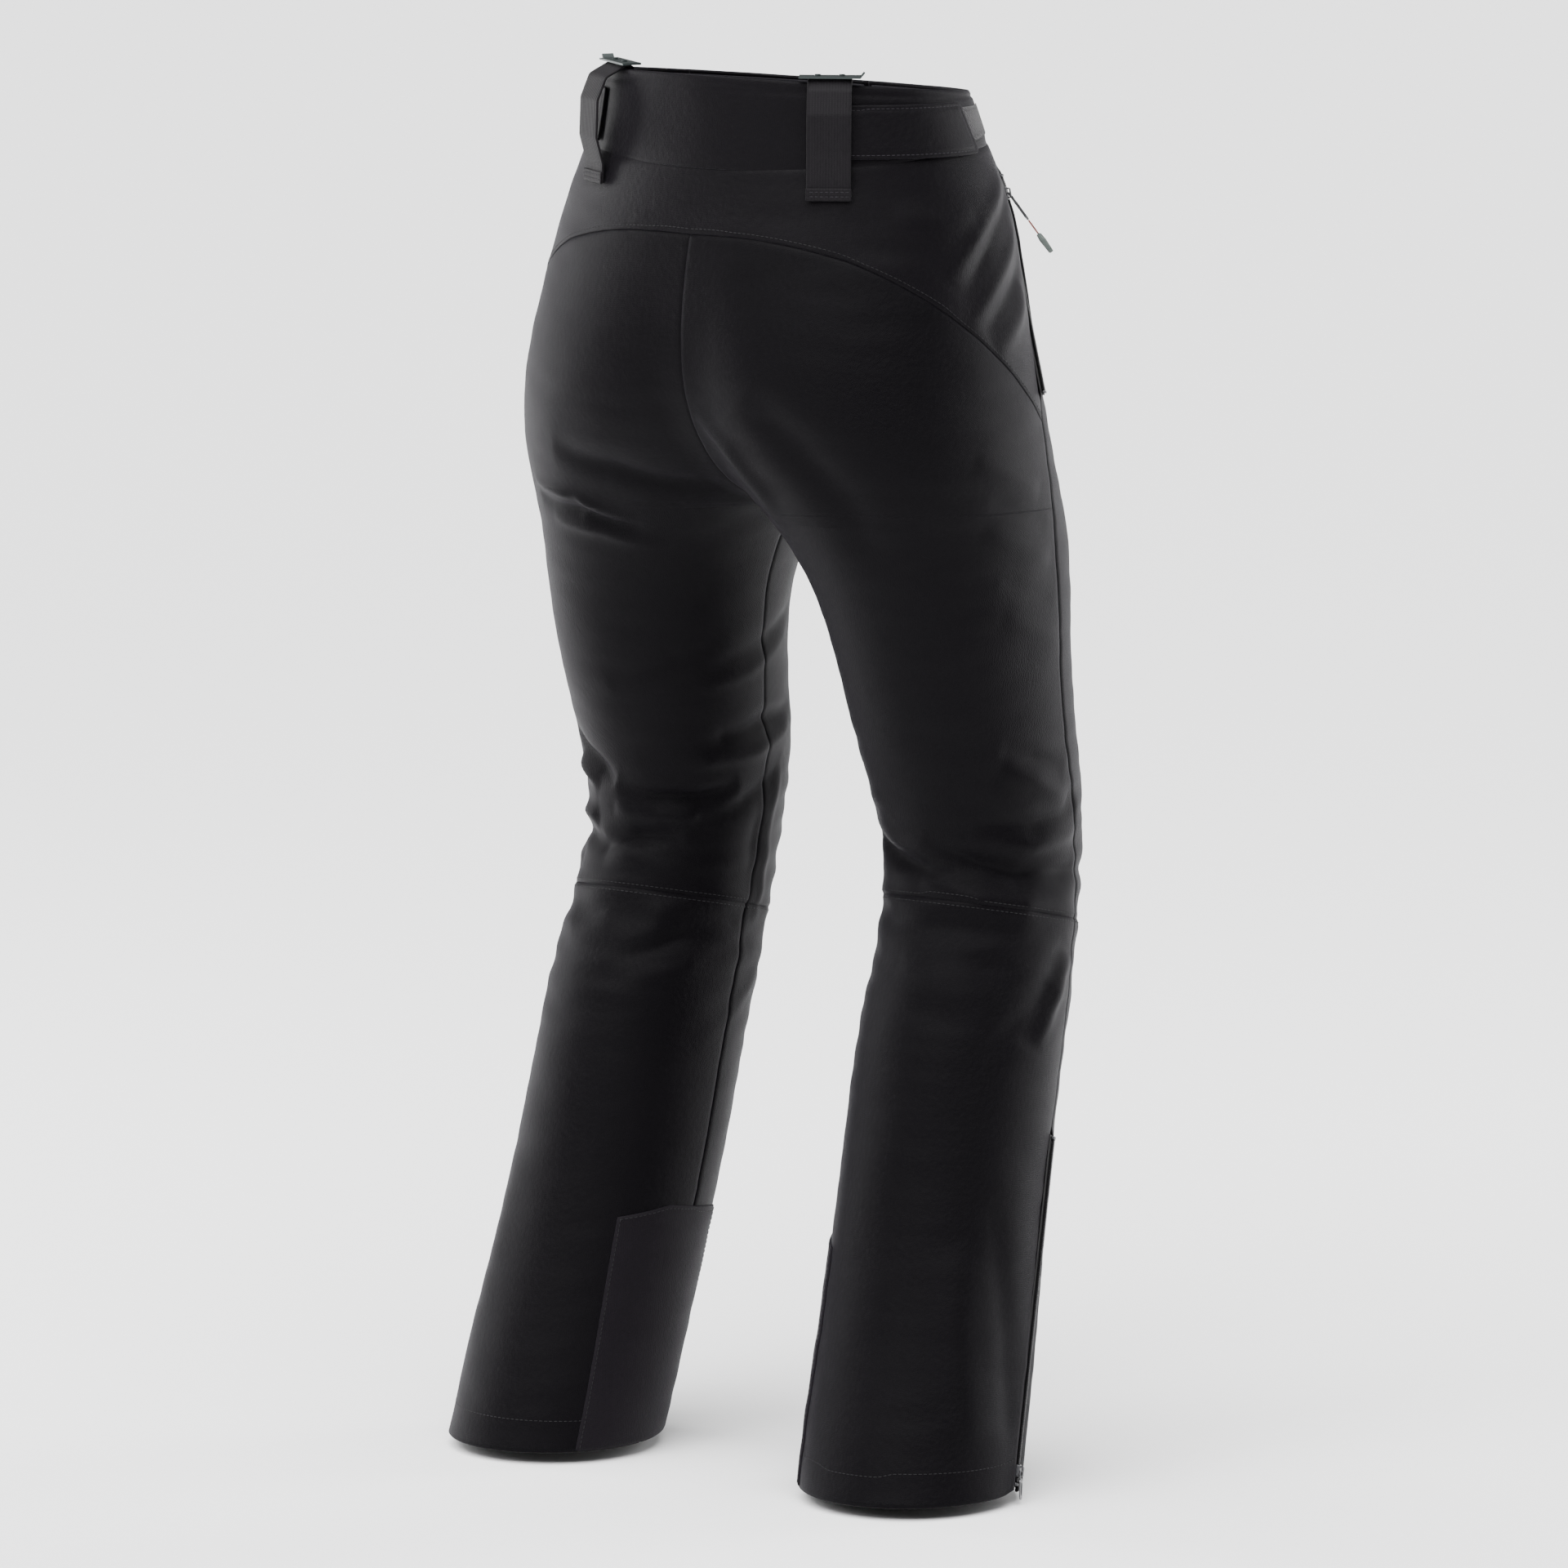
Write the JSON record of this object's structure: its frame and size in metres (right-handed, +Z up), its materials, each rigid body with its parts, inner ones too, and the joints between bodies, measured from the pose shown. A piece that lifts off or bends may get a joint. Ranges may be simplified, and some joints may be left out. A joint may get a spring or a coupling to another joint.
{
  "type": "ski trousers",
  "caption": "Black softshell ski trousers with articulated knees, zipped hand pockets, ankle zips, inner gaiters, waist adjuster tabs and brace loops.",
  "frame": {"origin": "centre of the waist opening, half way up the waistband at the back", "axes": "+Z up, the wearer faces -Y, +X is the wearer's left; x = 0 is the plane of the rise seams"},
  "size_m": [0.5038, 0.3046, 1.0687],
  "materials": {
    "seat_fabric": "matt woven softshell",
    "yoke_fabric": "matt woven softshell",
    "guard_fabric": "hard-wearing coated cloth",
    "lining": "smooth taffeta",
    "gaiter_fabric": "light ripstop",
    "webbing": "flat woven webbing",
    "loop_pile": "brushed loop pile",
    "zip_tape": "woven tape with nylon coil",
    "black_metal": "black lacquered metal",
    "zip_grip": "satin moulded plastic",
    "pull_wire": "satin wire"
  },
  "bodies": {
    "trousers": {"adjuster_patch_left": "loop_pile", "adjuster_patch_right": "loop_pile", "back_panel_left": "seat_fabric", "back_panel_right": "seat_fabric", "back_yoke": "yoke_fabric", "brace_loop_left": "webbing", "brace_loop_right": "webbing", "brace_plate_left": "black_metal", "brace_plate_right": "black_metal", "fly_zip_chain": "zip_tape", "front_panel_left": "seat_fabric", "front_panel_right": "seat_fabric", "pocket_bag_left": "lining", "pocket_bag_right": "lining", "pocket_zip_chain_left": "zip_tape", "pocket_zip_chain_right": "zip_tape", "press_stud_posts": "black_metal", "thigh_lining_left": "lining", "thigh_lining_right": "lining", "waistband_back": "yoke_fabric", "waistband_facing": "lining", "waistband_front_left": "yoke_fabric", "waistband_front_right": "yoke_fabric"},
    "waist_adjuster_left": {"adjuster_tab_left": "yoke_fabric"},
    "waist_adjuster_right": {"adjuster_tab_right": "yoke_fabric"},
    "shin_left": {"ankle_zip_chain_left": "zip_tape", "hem_facing_left": "seat_fabric", "scuff_guard_left": "guard_fabric", "shin_back_left": "seat_fabric", "shin_front_left": "seat_fabric", "shin_lining_left": "lining", "snow_gaiter_left": "gaiter_fabric"},
    "shin_right": {"ankle_zip_chain_right": "zip_tape", "hem_facing_right": "seat_fabric", "scuff_guard_right": "guard_fabric", "shin_back_right": "seat_fabric", "shin_front_right": "seat_fabric", "shin_lining_right": "lining", "snow_gaiter_right": "gaiter_fabric"},
    "ankle_pull_left": {"ankle_zip_pull_left": "black_metal"},
    "ankle_pull_right": {"ankle_zip_pull_right": "black_metal"},
    "ankle_slider_left": {"ankle_zip_slider_left": "black_metal"},
    "ankle_slider_right": {"ankle_zip_slider_right": "black_metal"},
    "waist_closure": {"closure_tab": "yoke_fabric", "press_stud_caps": "black_metal"},
    "fly_pull": {"fly_zip_pull": "black_metal"},
    "fly_slider": {"fly_zip_slider": "black_metal"},
    "pocket_pull_left": {"pocket_zip_pull_left": "black_metal", "pocket_zip_pull_link_left": "pull_wire", "pocket_zip_pull_tip_left": "zip_grip"},
    "pocket_pull_right": {"pocket_zip_pull_link_right": "pull_wire", "pocket_zip_pull_right": "black_metal", "pocket_zip_pull_tip_right": "zip_grip"},
    "pocket_slider_left": {"pocket_zip_slider_left": "black_metal"},
    "pocket_slider_right": {"pocket_zip_slider_right": "black_metal"}
  },
  "joints": [
    {"name": "knee_left", "type": "hinge", "parent": "trousers", "child": "shin_left", "pos_m": [0.14, 0.029, -0.5999], "axis": [1, 0, 0], "range_deg": [0, 55], "stiffness_Nm_per_rad": 0.6},
    {"name": "pocket_zip_left", "type": "slide", "parent": "trousers", "child": "pocket_slider_left", "axis": [0.2766, 0.0588, -0.9592], "range_m": [-0.007, 0.144]},
    {"name": "pocket_pull_left", "type": "hinge", "parent": "pocket_slider_left", "child": "pocket_pull_left", "pos_m": [0.15793, -0.06787, -0.05716], "axis": [-0.3336, -0.9302, -0.1533], "range_deg": [-20, 130]},
    {"name": "ankle_zip_left", "type": "slide", "parent": "shin_left", "child": "ankle_slider_left", "axis": [0.0934, 0.3249, -0.9411], "range_m": [-0.245, 0]},
    {"name": "ankle_pull_left", "type": "hinge", "parent": "ankle_slider_left", "child": "ankle_pull_left", "pos_m": [0.24662, 0.04152, -1.00578], "axis": [-0.3033, -0.891, -0.3377], "range_deg": [0, 150]},
    {"name": "waist_adjuster_left", "type": "hinge", "parent": "trousers", "child": "waist_adjuster_left", "pos_m": [0.1203, 0.0722, -0.002], "axis": [0, 0, 1], "range_deg": [0, 100]},
    {"name": "knee_right", "type": "hinge", "parent": "trousers", "child": "shin_right", "pos_m": [-0.14, 0.023, -0.5813], "axis": [1, 0, 0], "range_deg": [0, 55], "stiffness_Nm_per_rad": 0.6},
    {"name": "pocket_zip_right", "type": "slide", "parent": "trousers", "child": "pocket_slider_right", "axis": [-0.2766, 0.0588, -0.9592], "range_m": [-0.007, 0.144]},
    {"name": "pocket_pull_right", "type": "hinge", "parent": "pocket_slider_right", "child": "pocket_pull_right", "pos_m": [-0.15793, -0.06787, -0.05716], "axis": [-0.3336, 0.9302, 0.1533], "range_deg": [-20, 130]},
    {"name": "ankle_zip_right", "type": "slide", "parent": "shin_right", "child": "ankle_slider_right", "axis": [-0.0934, 0.3249, -0.9411], "range_m": [-0.245, 0]},
    {"name": "ankle_pull_right", "type": "hinge", "parent": "ankle_slider_right", "child": "ankle_pull_right", "pos_m": [-0.24662, 0.04152, -1.00578], "axis": [-0.3033, 0.891, 0.3377], "range_deg": [0, 150]},
    {"name": "waist_adjuster_right", "type": "hinge", "parent": "trousers", "child": "waist_adjuster_right", "pos_m": [-0.1203, 0.0722, -0.002], "axis": [0, 0, -1], "range_deg": [0, 100]},
    {"name": "fly_zip", "type": "slide", "parent": "trousers", "child": "fly_slider", "axis": [0, -0.0394, -0.9992], "range_m": [-0.003, 0.092]},
    {"name": "fly_pull", "type": "hinge", "parent": "fly_slider", "child": "fly_pull", "pos_m": [0, -0.12897, -0.04979], "axis": [-1, 0, 0], "range_deg": [-1, 150]},
    {"name": "waist_closure", "type": "hinge", "parent": "trousers", "child": "waist_closure", "pos_m": [-0.0203, -0.1206, -0.005], "axis": [0, -0.1749, -0.9846], "range_deg": [0, 100]}
  ]
}
